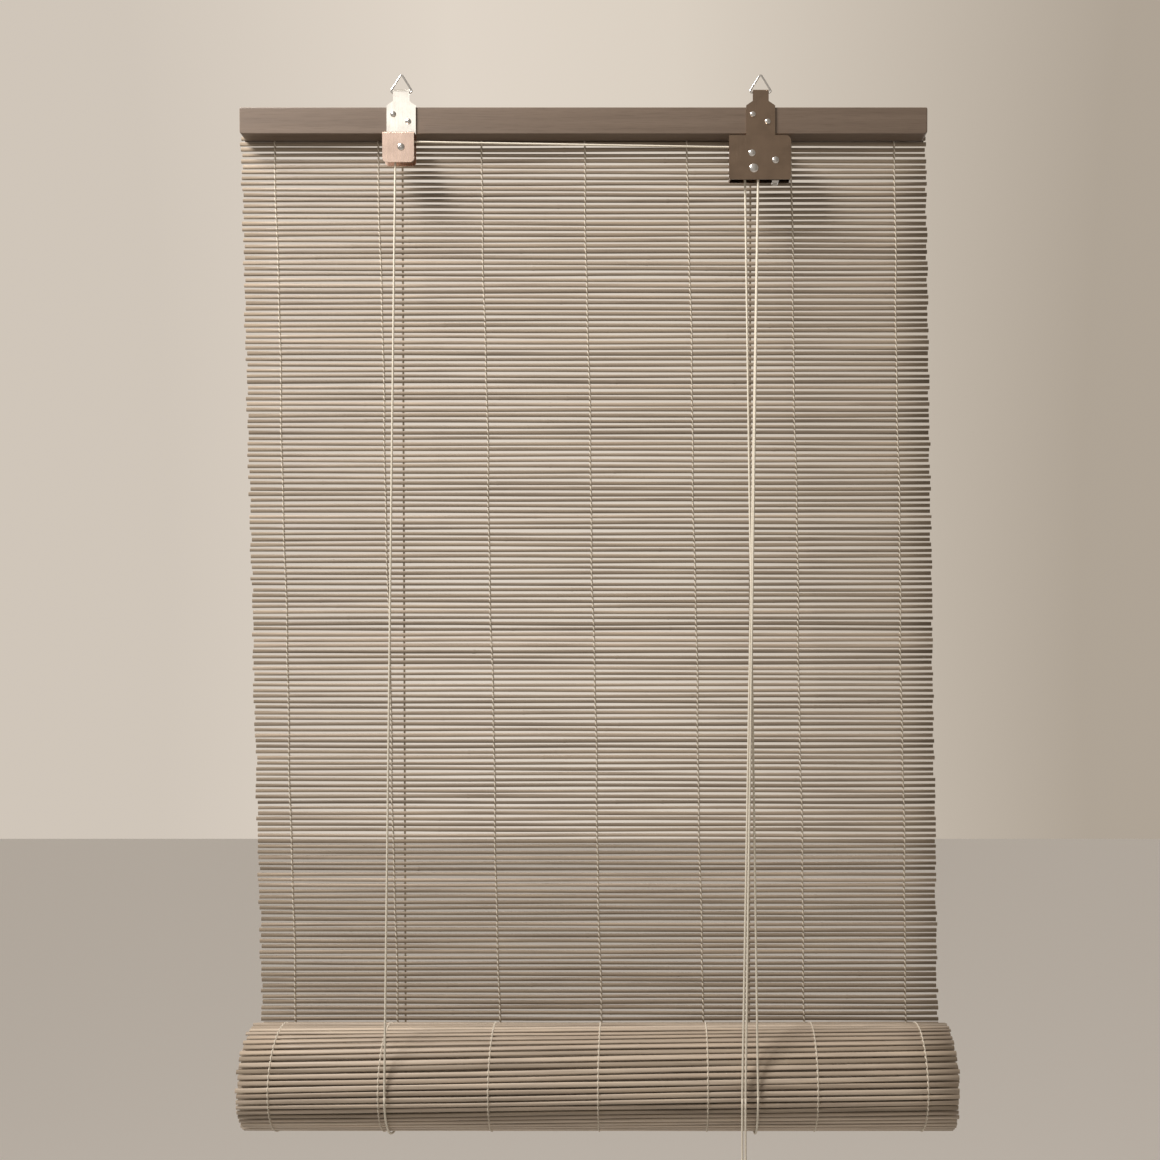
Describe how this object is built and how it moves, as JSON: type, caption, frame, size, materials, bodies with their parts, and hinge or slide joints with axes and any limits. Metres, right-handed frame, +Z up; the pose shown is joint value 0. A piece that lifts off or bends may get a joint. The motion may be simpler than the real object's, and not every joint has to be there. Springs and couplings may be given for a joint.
{
  "type": "bamboo roll up blind",
  "caption": "Rolled-up slatted bamboo window blind hung from a wooden headrail by two wire rings, with a cord lock, pulleys and pull cords.",
  "frame": {"origin": "on the headrail's back face, which stands against the wall or sash, midway along it and 15 mm below its top", "axes": "+Z up, +Y into the wall, -Y towards the room (the front), +X to the right seen from the room"},
  "size_m": [0.617, 0.1095, 0.9868],
  "materials": {
    "painted_wood": "satin stain",
    "bamboo": "satin stain",
    "thread": "twisted",
    "cord": "braided",
    "steel": "polished",
    "polished_nickel": "polished",
    "pulley": "moulded",
    "tie": "woven",
    "tassel_wood": "satin stain"
  },
  "bodies": {
    "headrail": {"headrail": "painted_wood", "back_batten": "painted_wood", "headrail_nails": "steel", "hanging_slats": "bamboo", "hanging_thread_1": "thread", "hanging_thread_2": "thread", "hanging_thread_3": "thread", "hanging_thread_4": "thread", "hanging_thread_5": "thread", "hanging_thread_6": "thread", "hanging_thread_7": "thread", "hanger_strap_left": "polished_nickel", "hanger_strap_right": "polished_nickel", "strap_rivets": "steel", "pulley_hood": "polished_nickel", "lock_housing": "polished_nickel", "pulley_axle_left": "steel", "pulley_axle_right": "steel", "guide_pin": "steel", "cam_axle": "steel", "cord_knots": "cord", "lift_cord_left_run": "cord", "lift_cord_right_run": "cord", "lift_cord_left_front": "cord", "lift_cord_right_front": "cord", "lift_cord_left_back": "cord", "lift_cord_right_back": "cord", "pull_cord_rear_upper": "cord", "pull_cord_front_upper": "cord"},
    "ring_left": {"wire_ring_left": "steel"},
    "ring_right": {"wire_ring_right": "steel"},
    "pulley_left": {"pulley_left": "pulley"},
    "pulley_right_rear": {"pulley_right_rear": "pulley"},
    "pulley_right_front": {"pulley_right_front": "pulley"},
    "lock_cam": {"lock_cam": "polished_nickel"},
    "cord_loops": {"lift_cord_left_loop": "cord", "lift_cord_right_loop": "cord", "pull_cord_rear_lower": "cord", "pull_cord_front_lower": "cord"},
    "roll": {"rolled_slats": "bamboo", "rolled_thread_1": "thread", "rolled_thread_2": "thread", "rolled_thread_3": "thread", "rolled_thread_4": "thread", "rolled_thread_5": "thread", "rolled_thread_6": "thread", "rolled_thread_7": "thread", "bottom_rail": "painted_wood"},
    "pull_cord_end": {"pull_cord_coil": "cord", "coil_tie": "tie", "tassel": "tassel_wood"}
  },
  "joints": [
    {"name": "ring_left_swing", "type": "hinge", "parent": "headrail", "child": "ring_left", "pos_m": [-0.1592, -0.02085, 0.028], "axis": [1, 0, 0], "range_deg": [-80, 80]},
    {"name": "ring_right_swing", "type": "hinge", "parent": "headrail", "child": "ring_right", "pos_m": [0.1549, -0.02085, 0.028], "axis": [1, 0, 0], "range_deg": [-80, 80]},
    {"name": "pulley_left_spin", "type": "hinge", "parent": "headrail", "child": "pulley_left", "pos_m": [-0.157, -0.03215, -0.024], "axis": [0, 1, 0], "continuous": true},
    {"name": "pulley_right_rear_spin", "type": "hinge", "parent": "headrail", "child": "pulley_right_rear", "pos_m": [0.1464, -0.0271, -0.0292], "axis": [0, 1, 0], "continuous": true},
    {"name": "pulley_right_front_spin", "type": "hinge", "parent": "headrail", "child": "pulley_right_front", "pos_m": [0.1464, -0.03215, -0.0292], "axis": [0, 1, 0], "continuous": true},
    {"name": "lock_release", "type": "hinge", "parent": "headrail", "child": "lock_cam", "pos_m": [0.1668, -0.0296, -0.0353], "axis": [0, -1, 0], "range_deg": [0, 22]},
    {"name": "raise", "type": "slide", "parent": "headrail", "child": "cord_loops", "axis": [0, 0, 1], "range_m": [0, 0.65], "deforming": ["hanging_slats", "hanging_thread_1", "hanging_thread_2", "hanging_thread_3", "hanging_thread_4", "hanging_thread_5", "hanging_thread_6", "hanging_thread_7", "lift_cord_left_front", "lift_cord_left_back", "lift_cord_right_front", "lift_cord_right_back", "pull_cord_rear_upper", "pull_cord_front_upper"]},
    {"name": "roll_turn", "type": "hinge", "parent": "cord_loops", "child": "roll", "pos_m": [0.015, -0.0514, -0.825], "axis": [1, 0, 0], "range_deg": [-845, 0]},
    {"name": "pull_cord_travel", "type": "slide", "parent": "cord_loops", "child": "pull_cord_end", "axis": [0, 0, -1], "range_m": [0, 1.95], "deforming": ["pull_cord_rear_lower", "pull_cord_front_lower"]}
  ],
  "couplings": [
    {"joint": "roll_turn", "follows": "raise", "rad_per_m": -22.624},
    {"joint": "pull_cord_travel", "follows": "raise", "ratio": 3}
  ]
}
